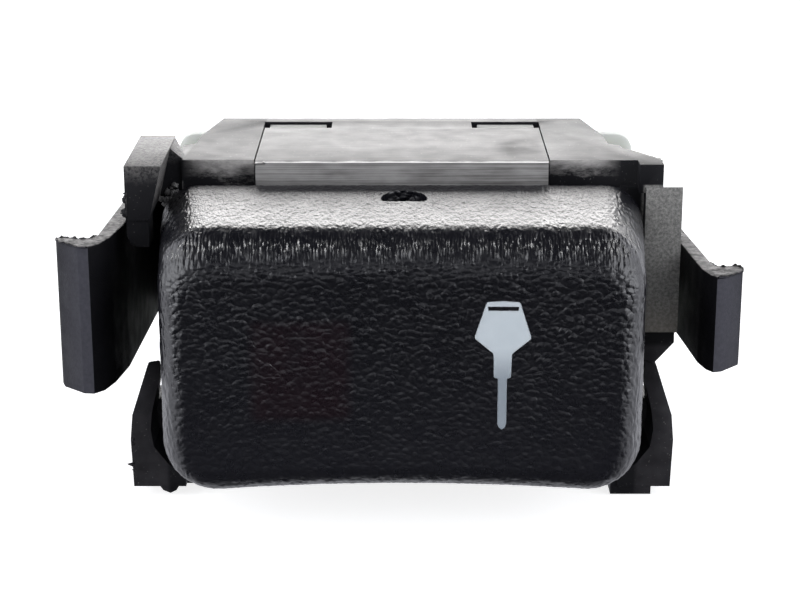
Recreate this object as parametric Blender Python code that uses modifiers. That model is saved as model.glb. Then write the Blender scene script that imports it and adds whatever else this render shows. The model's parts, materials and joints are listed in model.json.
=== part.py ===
"""A car's central locking rocker switch with a key symbol, as an assembly of separate pieces.

Sizes and places below are in millimetres in the drawing frame: X to the right, Y back from the
middle of the cap's front face, Z up from the rocker's pivot height. The part's own frame is in
metres, with its origin under the middle of the whole switch, on the surface that it stands on.
"""

import math

import bmesh
import bpy
from mathutils import Matrix, Vector

MM = 0.001

# The whole switch.
DEPTH = 45.4
FOOT_Z = -17.3
ORIGIN = Vector((0, -DEPTH / 2, -FOOT_Z)) * MM

# Rocker cap.
CAP_HALF_WIDTH = 22.35
CAP_TOP = 11.8
CAP_BOTTOM = -12.9
CAP_DEPTH = 14.3
CAP_WALL = 1.5
CAP_TOP_CORNER = 4.6
CAP_BOTTOM_CORNER = 5.0
CAP_CORNER_TIGHTENING = 0.8
CAP_SIDE_FLARE = 0.95
CAP_EDGE = 2.6
CAP_TOP_EDGE = 4.2
CAP_DISH = 0.4
CAP_BOW = 0.6
TOP_FLARE = 0.0095
BOTTOM_FLARE = 0.004
CORNER_STEPS = 5
EDGE_STEPS = 5
BOTTOM_SHARES = (0.25, 0.5, 0.75)
FACE_SHARES = (0.3, 0.6, 0.85)
FACE_CORNER = 2.4
FLOOR_FILLET = 1.3
ASSEMBLY_SLOT = (0.2, 10.6, 2.2, 2.2)

# Key symbol and indicator window.
KEY_X = 9.0
KEY_GAP = 0.1
LENS_HALF = (3.6, 7.2)
WINDOW_X = -9.3
WINDOW_Z = -0.7
WINDOW_HALF = (4.8, 5.2)

# Rocker pivot, on the left to right axis.
PIVOT_Y = 25.0
JOURNAL_RADIUS = 1.9
JOURNAL_HOLE_RADIUS = 2.0

# Contact sets, one on each side.
POLE_X = 14.4
BLADE_WIDTH = 2.8
BLADE_THICKNESS = 0.8
BLADE_END = 44.4
BLADE_Z = 8.4
CONTACT_FACE_Y = (32.45, 32.95)
TILT_Y = 31.9
LAMP_X = 8.3
SPRING_Y = (21.15, 26.75)
WIRE_RADIUS = 0.13
SLOT_GAP = 0.15

# Housing, seen from above: half width against depth.
BODY_PLAN = [(21.4, 17.0), (21.9, 23.4), (20.7, 24.2), (20.5, 28.0), (18.9, 36.4)]
CAVITY_PLAN = [(19.4, 18.8), (19.4, 26.0), (17.6, 37.5)]
EAR_PLAN = [(20.0, 17.0), (25.3, 17.0), (24.7, 18.4), (22.9, 21.2), (21.2, 23.4), (20.0, 24.0)]
BODY_TOP = 15.2
CAVITY_TOP = 13.6
WINDOW_TOP = 11.2
PANEL_HALF_WIDTH = 14.2
FLANGE_X = 0.4
FLANGE_HALF_WIDTH = 24.2
FLANGE_HALF_HEIGHT = 13.4
FLANGE_CORNER = 1.8
FLANGE_Y = (36.8, 38.6)
SOCKET_HALF = (18.6, 11.6)
SOCKET_WALL = 1.4
HOOK_X = (7.9, 13.8)
HOOK_TOP = 14.6
SNAP_SLOT_X = (7.3, 14.4)
SNAP_SLOT_Y = (31.7, 34.6)

# Lower stop blocks: front outline on the right, and side profile as depth against height.
LOWER_STOP_FRONT = [
    (23.8, -4.0), (24.95, -4.5), (26.35, -8.9), (26.6, -11.5), (26.45, -16.4), (21.3, -16.4),
    (21.3, -15.6), (23.1, -13.9), (24.35, -12.2), (24.6, -10.4), (24.4, -8.6), (23.8, -5.9),
]
LOWER_STOP_SIDE = [(11.0, -17.0), (11.0, -8.9), (13.2, -4.0), (14.0, -4.4), (17.6, -9.0), (17.6, -17.0)]
STOP_SPAN = (20.0, 28.0)

# Right stop block: plan on the right, side profile, and the chamfered foot under it in the front view.
RIGHT_STOP_PLAN = [(23.5, 14.6), (27.05, 14.6), (26.7, 16.8), (23.5, 16.8)]
RIGHT_STOP_SIDE = [(14.0, -1.6), (14.0, 13.3), (14.6, 13.1), (17.5, 12.2), (17.5, -1.6)]
RIGHT_STOP_FOOT = [(21.2, -1.2), (26.9, -1.2), (26.9, -2.9), (25.0, -5.05), (21.2, -5.05)]

# Peg at the upper left, and its narrower foot, in the front view.
PEG = [(-25.9, 16.5), (-22.45, 16.5), (-23.7, 11.3), (-25.9, 11.3)]
PEG_FOOT = [(-25.85, 11.8), (-23.8, 11.8), (-23.8, 8.65), (-24.9, 8.65), (-25.5, 8.95), (-25.85, 9.7)]
PEG_WEB_PLAN = [(-24.2, 17.3), (-21.2, 17.3), (-21.0, 18.5), (-22.4, 21.9), (-24.2, 21.9)]
PEG_WEB_FRONT = [(-24.2, 11.6), (-21.0, 11.6), (-21.0, 15.0), (-22.5, 16.3), (-24.2, 16.3)]
LEFT_LOBE = [
    (-24.3, -15.9), (-23.6, -16.9), (-22.9, -17.2), (-22.3, -16.9),
    (-21.7, -15.9), (-21.7, -15.3), (-24.3, -15.3),
]
FOOT_Y = (11.2, 14.6)

# Side wings, seen from above on the right: closed outlines of half width against depth.
LEFT_WING = [
    (19.7, 33.8), (25.6, 33.8), (26.5, 12.0), (27.2, 7.4), (27.9, 5.1), (28.8, 4.1), (29.8, 4.2),
    (31.9, 6.1), (32.2, 7.0), (31.7, 7.5), (30.0, 6.9), (29.1, 7.1), (28.5, 8.2), (27.0, 34.4),
    (26.2, 35.4), (19.7, 35.4),
]
RIGHT_WING = [
    (19.7, 33.8), (25.9, 33.8), (27.6, 14.3), (28.2, 8.6), (28.7, 6.6), (29.3, 5.7), (30.2, 6.0),
    (32.0, 7.9), (32.2, 8.9), (31.6, 9.7), (30.4, 9.3), (29.8, 9.6), (29.4, 11.0), (27.3, 34.4),
    (26.5, 35.4), (19.7, 35.4),
]
LEFT_WING_Z = (-4.25, 10.1)
RIGHT_WING_Z = (-2.7, 6.7)
WING_PIVOT = (20.2, 34.6)


def clear_scene():
    for leftover in list(bpy.data.objects):
        bpy.data.objects.remove(leftover)


def new_collection(name):
    collection = bpy.data.collections.new(name)
    bpy.context.scene.collection.children.link(collection)
    return collection


def material(name, color, roughness, metallic=0.0, transmission=0.0):
    made = bpy.data.materials.new(name)
    made.use_nodes = True
    shader = made.node_tree.nodes["Principled BSDF"]
    shader.inputs["Base Color"].default_value = (*color, 1.0)
    shader.inputs["Roughness"].default_value = roughness
    shader.inputs["Metallic"].default_value = metallic
    shader.inputs["Transmission Weight"].default_value = transmission
    return made


def move_to(obj, collection):
    for old in list(obj.users_collection):
        old.objects.unlink(obj)
    collection.objects.link(obj)


def add_part(obj, finish):
    """Names the object's collection and finish: it becomes one piece of the switch."""
    obj.data.materials.clear()
    obj.data.materials.append(finish)
    move_to(obj, PARTS)
    return obj


def add_cutter(obj):
    """A helper that a Boolean reads and nothing shows."""
    obj.hide_render = True
    obj.display_type = "WIRE"
    move_to(obj, CUTTERS)
    return obj


def boolean(target, helper, operation):
    modifier = target.modifiers.new(helper.name, "BOOLEAN")
    modifier.operation = operation
    modifier.solver = "EXACT"
    modifier.object = add_cutter(helper)


def cut(target, *helpers):
    for helper in helpers:
        boolean(target, helper, "DIFFERENCE")
    return target


def join(target, *helpers):
    for helper in helpers:
        boolean(target, helper, "UNION")
    return target


def place(x, y, z):
    return ORIGIN + Vector((x, y, z)) * MM


def block(name, x_range, y_range, z_range):
    """A box between two values on each axis."""
    low = Vector((x_range[0], y_range[0], z_range[0]))
    high = Vector((x_range[1], y_range[1], z_range[1]))
    bpy.ops.mesh.primitive_cube_add(size=1, location=place(*((low + high) / 2)))
    obj = bpy.context.object
    obj.name = name
    obj.scale = (high - low) * MM
    bpy.ops.object.transform_apply(location=False, rotation=False, scale=True)
    return obj


def soften(obj, width, segments=2):
    """Rounds the sharp edges."""
    modifier = obj.modifiers.new("edges", "BEVEL")
    modifier.width = width * MM
    modifier.segments = segments
    modifier.limit_method = "ANGLE"
    modifier.angle_limit = math.radians(40)
    return obj


TURN = {
    "X": Matrix(((0, 0, 1), (1, 0, 0), (0, 1, 0))).to_4x4(),
    "Y": Matrix.Rotation(math.radians(90), 4, "X"),
    "Z": Matrix.Identity(4),
}


def prism(name, outline, axis, low, high):
    """An outline in the plane across the axis, (X, Y), (X, Z) or (Y, Z), drawn out from low to high."""
    curve = bpy.data.curves.new(name, "CURVE")
    curve.dimensions = "2D"
    curve.fill_mode = "BOTH"
    curve.extrude = (high - low) / 2 * MM
    spline = curve.splines.new("POLY")
    spline.points.add(len(outline) - 1)
    for point, (u, v) in zip(spline.points, outline):
        point.co = (u * MM, v * MM, 0, 1)
    spline.use_cyclic_u = True
    guide = bpy.data.objects.new(name + "_outline", curve)
    PARTS.objects.link(guide)
    middle = {"XYZ"[i]: (low + high) / 2 if "XYZ"[i] == axis else 0 for i in range(3)}
    guide.matrix_world = Matrix.Translation(place(middle["X"], middle["Y"], middle["Z"])) @ TURN[axis]
    return mesh_from_curve(guide, name)


def mesh_from_curve(guide, name):
    """A mesh object in a curve's place, with the curve's loose caps welded on."""
    bpy.context.view_layer.update()
    mesh = bpy.data.meshes.new_from_object(guide.evaluated_get(bpy.context.evaluated_depsgraph_get()))
    shape = bmesh.new()
    shape.from_mesh(mesh)
    bmesh.ops.remove_doubles(shape, verts=shape.verts, dist=1e-7)
    bmesh.ops.recalc_face_normals(shape, faces=shape.faces)
    shape.to_mesh(mesh)
    shape.free()
    obj = bpy.data.objects.new(name, mesh)
    obj.matrix_world = guide.matrix_world
    PARTS.objects.link(obj)
    curve = guide.data
    bpy.data.objects.remove(guide)
    bpy.data.curves.remove(curve)
    return obj


def rod(name, radius, axis, centre, length, sides=24):
    """A round bar along one axis, centred on a point."""
    turn = {"X": (0, math.radians(90), 0), "Y": (math.radians(90), 0, 0), "Z": (0, 0, 0)}[axis]
    bpy.ops.mesh.primitive_cylinder_add(
        vertices=sides, radius=radius * MM, depth=length * MM, location=place(*centre), rotation=turn
    )
    obj = bpy.context.object
    obj.name = name
    return obj


def turned(name, profile, x, z, steps=20):
    """A shape turned about a front to back line. The profile runs from rear to front as (radius, Y)."""
    mesh = bpy.data.meshes.new(name)
    shape = bmesh.new()
    points = [shape.verts.new((radius * MM, 0, y * MM)) for radius, y in profile]
    for start, end in zip(points, points[1:]):
        shape.edges.new((start, end))
    shape.to_mesh(mesh)
    shape.free()
    obj = bpy.data.objects.new(name, mesh)
    obj.location = place(x, 0, z)
    obj.rotation_euler = (math.radians(-90), 0, 0)
    PARTS.objects.link(obj)
    screw = obj.modifiers.new("turn", "SCREW")
    screw.steps = steps
    screw.render_steps = steps
    screw.use_merge_vertices = True
    screw.merge_threshold = 0.00001
    return obj


def mirrored(outline, side):
    """The outline on the left (side -1) or the right (side 1)."""
    return [(side * u, v) for u, v in outline]


def spread(side, inner, outer):
    """A range in X from inner to outer, on the left (side -1) or the right (side 1)."""
    return tuple(sorted((side * inner, side * outer)))


def both_sides(half_plan):
    """A closed outline from its right half."""
    return half_plan + mirrored(half_plan, -1)[::-1]


def rounded(half_width, low, high, top_corner, bottom_corner):
    """A rounded outline in the front view, as (x, z, how far up it faces), going anticlockwise."""
    corners = [
        (1, -1, bottom_corner, -90), (1, 1, top_corner, 0),
        (-1, 1, top_corner, 90), (-1, -1, bottom_corner, 180),
    ]
    outline = []
    for side, up, corner, start in corners:
        x = side * (half_width - corner)
        z = high - corner if up > 0 else low + corner
        for step in range(CORNER_STEPS + 1):
            angle = math.radians(start + 90 * step / CORNER_STEPS)
            outline.append((x + corner * math.cos(angle), z + corner * math.sin(angle), math.sin(angle)))
    reach = half_width - bottom_corner
    for share in BOTTOM_SHARES:
        outline.append((-reach + 2 * reach * share, low, -1.0))
    return outline


def cap_section(inset=0.0, rearward=0.0):
    """The cap cut across. Rearward goes from 0 in front to 1 at the rear rim, wider with tighter corners."""
    tightening = CAP_CORNER_TIGHTENING * rearward + inset
    half_width = CAP_HALF_WIDTH + CAP_SIDE_FLARE * rearward - inset
    return rounded(
        half_width, CAP_BOTTOM + inset, CAP_TOP - inset,
        CAP_TOP_CORNER - tightening, CAP_BOTTOM_CORNER - tightening,
    )


def cap_point(x, y, z):
    """The height grows towards the rear, and the bottom edge bows up in its middle."""
    if z > 0:
        return Vector((x, y, z * (1 + TOP_FLARE * y)))
    bow = CAP_BOW * max(0.0, 1 - (x / 17.0) ** 2) * z / CAP_BOTTOM
    return Vector((x, y, z * (1 + BOTTOM_FLARE * y) + bow))


def cap_dish(x, z):
    """How far the front face sinks at a point, nothing at its rim and most in its middle."""
    return CAP_DISH * max(0.0, 1 - (x / 20.0) ** 2) * max(0.0, 1 - (z / 11.0) ** 2)


def cap_rings():
    """Closed rings of points from the front face's middle, round its edge, back, and up the inside."""
    face = rounded(
        CAP_HALF_WIDTH - CAP_EDGE, CAP_BOTTOM + CAP_EDGE, CAP_TOP - CAP_TOP_EDGE, FACE_CORNER, FACE_CORNER
    )
    rings = []
    for share in FACE_SHARES:
        rings.append([cap_point(x * share, cap_dish(x * share, z * share), z * share) for x, z, _ in face])
    for step in range(EDGE_STEPS + 1):
        angle = math.radians(90 * step / EDGE_STEPS)
        ring = []
        for (face_x, face_z, _), (x, z, up) in zip(face, cap_section()):
            depth = CAP_EDGE + (CAP_TOP_EDGE - CAP_EDGE) * max(0.0, up)
            out_x, out_z = (x - face_x) * math.sin(angle), (z - face_z) * math.sin(angle)
            ring.append(cap_point(face_x + out_x, depth * (1 - math.cos(angle)), face_z + out_z))
        rings.append(ring)
    rings.append([cap_point(x, CAP_DEPTH, z) for x, z, _ in cap_section(0.0, 1.0)])
    rings.append([cap_point(x, CAP_DEPTH, z) for x, z, _ in cap_section(CAP_WALL, 1.0)])
    floor_y = CAP_DISH + CAP_WALL
    rings.append([cap_point(x, floor_y + FLOOR_FILLET, z) for x, z, _ in cap_section(CAP_WALL)])
    rings.append([cap_point(x, floor_y, z) for x, z, _ in cap_section(CAP_WALL + FLOOR_FILLET)])
    return rings


def cap_shell():
    """The hollow cap: its rings skinned with faces, and closed at the front face and at the inside floor."""
    shape = bmesh.new()
    rings = [[shape.verts.new(point * MM) for point in ring] for ring in cap_rings()]
    for inner, outer in zip(rings, rings[1:]):
        for i in range(len(inner)):
            after = (i + 1) % len(inner)
            shape.faces.new((inner[i], inner[after], outer[after], outer[i]))
    shape.faces.new(rings[0][::-1])
    shape.faces.new(rings[-1])
    bmesh.ops.recalc_face_normals(shape, faces=shape.faces)
    mesh = bpy.data.meshes.new("rocker_cap")
    shape.to_mesh(mesh)
    shape.free()
    mesh.shade_smooth()
    mesh.set_sharp_from_angle(angle=math.radians(35))
    obj = bpy.data.objects.new("rocker_cap", mesh)
    obj.location = ORIGIN
    return obj


def key_outline(grow):
    """The key pictogram in the front view, made larger all round by grow."""
    half = [
        (0, 6.05 + grow), (1.47 + grow, 5.95 + grow), (2.59 + grow, 2.55), (0.84 + grow, 0.95),
        (0.79 + grow, -1.25 - grow), (0.42 + grow, -1.35 - grow), (0.42 + grow, -5.75), (0, -6.35 - grow),
    ]
    other = [(-x, z) for x, z in half[-2:0:-1]]
    return [(KEY_X + x, z) for x, z in half + other]


def crescent(centre_x, y, half_width, depth):
    """A slot seen from above, bowed at its rear and almost straight in front."""
    rear = [(-1, 0.1), (-0.8, 0.65), (-0.4, 0.92), (0, 1), (0.4, 0.92), (0.8, 0.65), (1, 0.1)]
    front = [(0.85, -0.27), (0, -0.3), (-0.85, -0.27)]
    return [(centre_x + half_width * u, y + depth * v) for u, v in rear + front]


def make_cap():
    cap = cap_shell()
    PARTS.objects.link(cap)
    cut(cap, prism("key_opening", key_outline(KEY_GAP), "Y", -1, 4))
    cut(cap, prism("assembly_slot", crescent(*ASSEMBLY_SLOT), "Z", 9, 16))
    half_x, half_z = WINDOW_HALF[0] + 0.2, WINDOW_HALF[1] + 0.2
    window = block(
        "filter_pocket",
        (WINDOW_X - half_x, WINDOW_X + half_x), (1.2, 3.0), (WINDOW_Z - half_z, WINDOW_Z + half_z),
    )
    cut(cap, window)
    return add_part(cap, BLACK_GRAINED)


def make_key_lens():
    half_x, half_z = LENS_HALF
    lens = block("key_symbol_lens", (KEY_X - half_x, KEY_X + half_x), (2.2, 3.0), (-half_z, half_z))
    join(lens, prism("key_boss", key_outline(0.0), "Y", 0.35, 2.6))
    slot = block("key_slot", (KEY_X - 1.38, KEY_X + 1.38), (0.1, 0.9), (5.05, 5.6))
    cut(lens, slot)
    return add_part(lens, TRANSLUCENT_WHITE)


def make_indicator_filter():
    x_range = (WINDOW_X - WINDOW_HALF[0], WINDOW_X + WINDOW_HALF[0])
    z_range = (WINDOW_Z - WINDOW_HALF[1], WINDOW_Z + WINDOW_HALF[1])
    return add_part(block("indicator_filter", x_range, (1.4, 2.4), z_range), DARK_RED)


def make_carrier():
    """The frame behind the cap, with a light shaft at each side, two towers and the journals."""
    carrier = block("rocker_carrier", (-19.8, 19.8), (4.4, 12.0), (-9.6, 9.4))
    join(carrier, block("neck", (-18.4, 18.4), (11.0, 19.0), (-8.6, 8.6)))
    for side in (-1, 1):
        tower = block("tower", spread(side, 12.4, 18.4), (18.0, 28.2), (-3.2, 3.2))
        join(carrier, tower)
        journal = rod("journal", JOURNAL_RADIUS, "X", (side * 19.6, PIVOT_Y, 0), 3.4)
        join(carrier, journal)
        shaft = block("light_shaft", spread(side, 4.5, 12.1), (3, 20), (-6.7, 6.7))
        cut(carrier, shaft)
        bore = rod("plunger_bore", 1.35, "Y", (side * POLE_X, 25.0, 0), 8.4, 20)
        cut(carrier, bore)
    return add_part(carrier, BLACK_PLAIN)


def make_light_guide(name, side):
    guide = block(name, spread(side, 4.9, 11.8), (3.4, 19.4), (-6.3, 6.3))
    return add_part(soften(guide, 0.4), CLEAR)


def make_plunger(name, x):
    """A round-nosed pin whose thinner tail runs inside its spring."""
    nose = [(1.15 * math.cos(a), 29.85 + 1.15 * math.sin(a)) for a in (math.pi / 2, 1.05, 0.52, 0.0)]
    profile = [(0, nose[0][1])] + nose[1:] + [(1.15, 27.0), (0.55, 27.0), (0.55, 22.5), (0, 22.5)]
    return add_part(turned(name, profile, x, 0), WHITE_NYLON)


def make_plunger_spring(name, x):
    turns, per_turn, mean_radius = 7, 10, 0.95
    start_y, end_y = SPRING_Y
    curve = bpy.data.curves.new(name, "CURVE")
    curve.dimensions = "3D"
    curve.bevel_depth = WIRE_RADIUS * MM
    curve.bevel_resolution = 2
    curve.use_fill_caps = True
    spline = curve.splines.new("POLY")
    count = turns * per_turn + 1
    spline.points.add(count - 1)
    for i, point in enumerate(spline.points):
        angle = 2 * math.pi * i / per_turn
        along = start_y + (end_y - start_y) * i / (count - 1)
        offset = Vector((mean_radius * math.cos(angle), along, mean_radius * math.sin(angle)))
        point.co = (*(offset * MM), 1)
    guide = bpy.data.objects.new(name + "_wire", curve)
    guide.location = place(x, 0, 0)
    PARTS.objects.link(guide)
    return add_part(mesh_from_curve(guide, name), STEEL)


def add_side_lugs(housing):
    """The stop blocks and the webs that tie them to the body."""
    join(housing, prism("peg", PEG, "Y", 8.9, 22.1))
    join(housing, prism("peg_foot", PEG_FOOT, "Y", 9.2, 12.5))
    peg_web = prism("peg_web", PEG_WEB_PLAN, "Z", 11.6, 16.3)
    boolean(peg_web, prism("peg_web_front", PEG_WEB_FRONT, "Y", 17, 22.2), "INTERSECT")
    join(housing, peg_web)
    right_stop = prism("right_stop", RIGHT_STOP_PLAN, "Z", -1.6, 13.2)
    boolean(right_stop, prism("right_stop_side", RIGHT_STOP_SIDE, "X", *STOP_SPAN), "INTERSECT")
    join(housing, right_stop)
    join(housing, block("right_corner", (22.9, 25.2), (15.1, 18.0), (12.4, BODY_TOP)))
    join(housing, prism("right_stop_foot", RIGHT_STOP_FOOT, "Y", 15.4, 17.6))
    join(housing, block("right_web", (21.2, 25.0), (16.4, 20.1), (-4.9, 12.8)))
    for side in (-1, 1):
        stop = prism("lower_stop", mirrored(LOWER_STOP_FRONT, side), "Y", 10.0, 18.0)
        limit = prism("lower_stop_side", LOWER_STOP_SIDE, "X", *spread(side, *STOP_SPAN))
        boolean(stop, limit, "INTERSECT")
        join(housing, stop)
        join(housing, block("lower_web", spread(side, 21.2, 25.4), (16.3, 20.5), (-16.1, -9.2)))
        join(housing, block("bottom_rib", spread(side, 15.8, 17.8), (19.0, 36.4), (FOOT_Z, -15.0)))
        join(housing, block("bottom_shelf", spread(side, 15.0, 24.6), (14.0, 20.6), (FOOT_Z, -15.1)))
    join(housing, block("right_foot", (20.6, 24.6), FOOT_Y, (FOOT_Z, -15.6)))
    join(housing, prism("left_foot", LEFT_LOBE, "Y", *FOOT_Y))


def make_housing():
    housing = prism("front_housing", both_sides(BODY_PLAN), "Z", -BODY_TOP, BODY_TOP)
    for low, high in ((12.6, BODY_TOP), (-BODY_TOP, -12.6)):
        join(housing, prism("ear", EAR_PLAN, "Z", low, high))
    join(housing, block("panel", (-PANEL_HALF_WIDTH, PANEL_HALF_WIDTH), (15.9, 18.0), (-BODY_TOP, BODY_TOP)))
    add_side_lugs(housing)
    cut(housing, prism("cavity", both_sides(CAVITY_PLAN), "Z", -CAVITY_TOP, CAVITY_TOP))
    cut(housing, block("front_window", (-19.2, 19.2), (15.0, 20.0), (-WINDOW_TOP, WINDOW_TOP)))
    cut(housing, rod("journal_hole", JOURNAL_HOLE_RADIUS, "X", (0, PIVOT_Y, 0), 50, 32))
    for side in (-1, 1):
        cut(housing, block("snap_slot", spread(side, *SNAP_SLOT_X), SNAP_SLOT_Y, (-16, 16)))
    return add_part(housing, BLACK_PLAIN)


def make_wing(name, outline, side, z_range):
    return add_part(prism(name, mirrored(outline, side), "Z", *z_range), BLACK_PLAIN)


def make_base():
    """The white base: a plug in the housing, a flange, a socket round the blades and four hooks."""
    base = block("rear_base", (-17.1, 17.1), (33.3, 37.2), (-13.2, 13.2))
    outline = rounded(
        FLANGE_HALF_WIDTH, -FLANGE_HALF_HEIGHT, FLANGE_HALF_HEIGHT, FLANGE_CORNER, FLANGE_CORNER
    )[:-len(BOTTOM_SHARES)]
    join(base, prism("base_flange", [(FLANGE_X + x, z) for x, z, _ in outline], "Y", *FLANGE_Y))
    (half_width, half_height), rear = SOCKET_HALF, FLANGE_Y[1]
    wall = block("socket_wall", (-half_width, half_width), (rear - 0.6, DEPTH), (-half_height, half_height))
    join(base, wall)
    half_width, half_height = half_width - SOCKET_WALL, half_height - SOCKET_WALL
    hollow = block("socket_hollow", (-half_width, half_width), (rear, DEPTH + 2), (-half_height, half_height))
    cut(base, hollow)
    for side in (-1, 1):
        for up in (-1, 1):
            arm = block("hook_arm", spread(side, *HOOK_X), (31.9, 34.0), spread(up, 12.2, 13.2))
            hook = block("hook", spread(side, *HOOK_X), (32.0, 34.3), spread(up, 13.0, HOOK_TOP))
            join(base, arm, hook)
        cut(base, rod("holder_hole", 3.1, "Y", (side * LAMP_X, 35, 0), 12))
        cut(base, rod("holder_recess", 4.2, "Y", (side * LAMP_X, 39, 0), 3.4))
        for z in (-BLADE_Z, 0, BLADE_Z):
            cut(base, blade_slot(side * POLE_X, z))
    for z in (-BLADE_Z, BLADE_Z):
        cut(base, blade_slot(0, z))
    return add_part(base, WHITE_NYLON)


def blade_slot(x, z):
    half_width = BLADE_WIDTH / 2 + SLOT_GAP
    half_height = BLADE_THICKNESS / 2 + SLOT_GAP
    x_range, z_range = (x - half_width, x + half_width), (z - half_height, z + half_height)
    return block("blade_slot", x_range, (31, 40), z_range)


def make_fixed_terminal(name, x, up):
    """An L-shaped strip: a contact face at the front, up or down to its blade."""
    inner, outer = BLADE_Z - BLADE_THICKNESS / 2, BLADE_Z + BLADE_THICKNESS / 2
    front, back = CONTACT_FACE_Y
    outline = [(front, 3.4), (back, 3.4), (back, inner)]
    outline += [(BLADE_END, inner), (BLADE_END, outer), (front, outer)]
    outline = [(y, up * z) for y, z in outline]
    half = BLADE_WIDTH / 2
    return add_part(prism(name, outline, "X", x - half, x + half), BRASS)


def make_common_terminal(name, x):
    """A straight blade whose front edge is the knife edge that the contact rocker tilts on."""
    half_t = BLADE_THICKNESS / 2
    upper = [(32.1, 0.12), (32.6, half_t), (BLADE_END, half_t)]
    outline = upper + [(y, -z) for y, z in upper[::-1]]
    half = BLADE_WIDTH / 2
    return add_part(prism(name, outline, "X", x - half, x + half), BRASS)


def make_contact_rocker(name, x):
    """A shallow V of strip with a contact pip at each end."""
    upper = [(31.3, 0), (31.0, 4.8), (31.45, 4.8), (31.75, 0)]
    lower = [(y, -z) for y, z in upper[2:0:-1]]
    rocker = prism(name, upper + lower, "X", x - 1.3, x + 1.3)
    for up in (-1, 1):
        join(rocker, rod("pip", 0.7, "Y", (x, 31.65, up * 4.1), 0.7, 16))
    return add_part(rocker, COPPER)


def make_lamp(name, x):
    glass = [(1.6, 31.0), (2.0, 29.6), (2.0, 25.0), (1.75, 23.6), (1.1, 22.8)]
    profile = [(0, 31.0)] + glass + [(0, 22.5)]
    return add_part(turned(name, profile, x, 0), CLEAR)


def make_lamp_holder(name, x):
    profile = [(0, 38.5), (3.9, 38.5), (3.9, 37.6), (2.9, 37.6), (2.9, 31.4), (0, 31.4)]
    holder = turned(name, profile, x, 0, 28)
    cut(holder, block("driver_slot", (x - 3.2, x + 3.2), (37.9, 40), (-0.5, 0.5)))
    return add_part(holder, BLACK_PLAIN)


def make_divider():
    return add_part(block("light_divider", (-0.6, 0.6), (20.8, 32.0), (-7.0, 7.0)), BLACK_PLAIN)


def carry(name, position, pieces):
    """An empty on a joint's axis, and the pieces that move with it."""
    axis = bpy.data.objects.new(name, None)
    axis.location = place(*position)
    axis.empty_display_size = 3 * MM
    PARTS.objects.link(axis)
    bpy.context.view_layer.update()
    for piece in pieces:
        piece.parent = axis
        piece.matrix_parent_inverse = axis.matrix_world.inverted()
    return axis


def build():
    rocker = [make_cap(), make_key_lens(), make_indicator_filter(), make_carrier()]
    rocker += [make_light_guide("symbol_light_guide", 1), make_light_guide("indicator_light_guide", -1)]
    rocker_axis = carry("rocker_axis", (0, PIVOT_Y, 0), rocker)
    make_housing()
    make_base()
    make_divider()
    for side, word in ((-1, "left"), (1, "right")):
        x = side * POLE_X
        spring = make_plunger_spring(word + "_plunger_spring", x)
        plunger = make_plunger(word + "_plunger", x)
        plunger_axis = carry(word + "_plunger_axis", (x, PIVOT_Y, 0), [plunger])
        carry(word + "_contact_axis", (x, TILT_Y, 0), [make_contact_rocker(word + "_contact_rocker", x)])
        for follower in (plunger_axis, spring):
            follower.parent = rocker_axis
            follower.matrix_parent_inverse = rocker_axis.matrix_world.inverted()
        make_fixed_terminal(word + "_upper_terminal", x, 1)
        make_fixed_terminal(word + "_lower_terminal", x, -1)
        make_common_terminal(word + "_common_terminal", x)
    make_fixed_terminal("lamp_feed_terminal", 0, 1)
    make_fixed_terminal("lamp_ground_terminal", 0, -1)
    for name, side in (("symbol", 1), ("indicator", -1)):
        make_lamp(name + "_lamp", side * LAMP_X)
        make_lamp_holder(name + "_lamp_holder", side * LAMP_X)
    left = make_wing("left_wing_clip", LEFT_WING, -1, LEFT_WING_Z)
    right = make_wing("right_wing_clip", RIGHT_WING, 1, RIGHT_WING_Z)
    carry("left_wing_axis", (-WING_PIVOT[0], WING_PIVOT[1], 0), [left])
    carry("right_wing_axis", (WING_PIVOT[0], WING_PIVOT[1], 0), [right])


clear_scene()
PARTS = new_collection("rocker_switch")
CUTTERS = new_collection("cutters")
BLACK_GRAINED = material("black_grained", (0.012, 0.012, 0.014), 0.35)
BLACK_PLAIN = material("black_plain", (0.02, 0.02, 0.022), 0.5)
TRANSLUCENT_WHITE = material("translucent_white", (0.62, 0.7, 0.74), 0.35)
DARK_RED = material("dark_red", (0.15, 0.005, 0.01), 0.3)
CLEAR = material("clear", (0.9, 0.92, 0.93), 0.1, transmission=0.9)
WHITE_NYLON = material("white_nylon", (0.8, 0.82, 0.78), 0.45)
STEEL = material("steel", (0.55, 0.55, 0.56), 0.3, metallic=1.0)
BRASS = material("brass", (0.72, 0.58, 0.28), 0.3, metallic=1.0)
COPPER = material("copper", (0.75, 0.42, 0.3), 0.3, metallic=1.0)
build()
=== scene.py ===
import json
import math

import bmesh
import bpy
import numpy as np
from mathutils import Matrix, Vector, noise

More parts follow.
